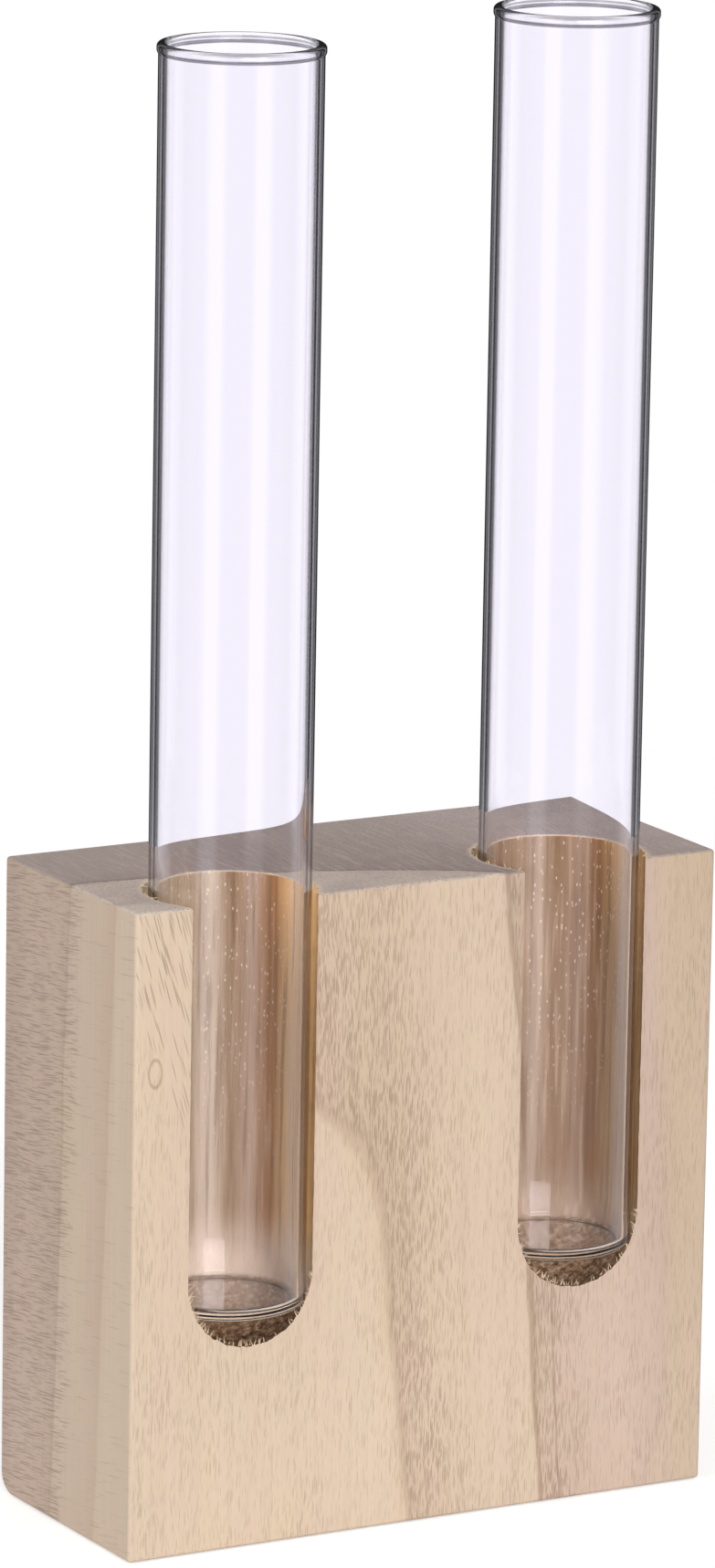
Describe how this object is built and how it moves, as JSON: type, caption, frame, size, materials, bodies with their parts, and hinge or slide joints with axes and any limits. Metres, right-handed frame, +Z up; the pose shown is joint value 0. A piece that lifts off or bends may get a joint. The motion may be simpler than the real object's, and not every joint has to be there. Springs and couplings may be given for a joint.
{
  "type": "test tube vase",
  "caption": "Bud vase: clear glass test tubes stand in round-nosed bores that break out through the front of a solid wood block.",
  "frame": {"origin": "centre of the block's flat underside", "axes": "+Z up along the tubes, -Y is the front face that the bores break out through, +X towards the right end seen from the front"},
  "size_m": [0.102, 0.0475, 0.2342],
  "materials": {
    "wood": "sanded bare wood, grain upright",
    "glass": "clear polished glass"
  },
  "bodies": {
    "block": {"wood_block": "wood"},
    "left_tube": {"left_tube": "glass"},
    "right_tube": {"right_tube": "glass"}
  },
  "joints": [
    {"name": "left_tube_lift", "type": "slide", "parent": "block", "child": "left_tube", "axis": [0, 0, 1], "range_m": [0, 0.07]},
    {"name": "right_tube_lift", "type": "slide", "parent": "block", "child": "right_tube", "axis": [0, 0, 1], "range_m": [0, 0.07]}
  ]
}
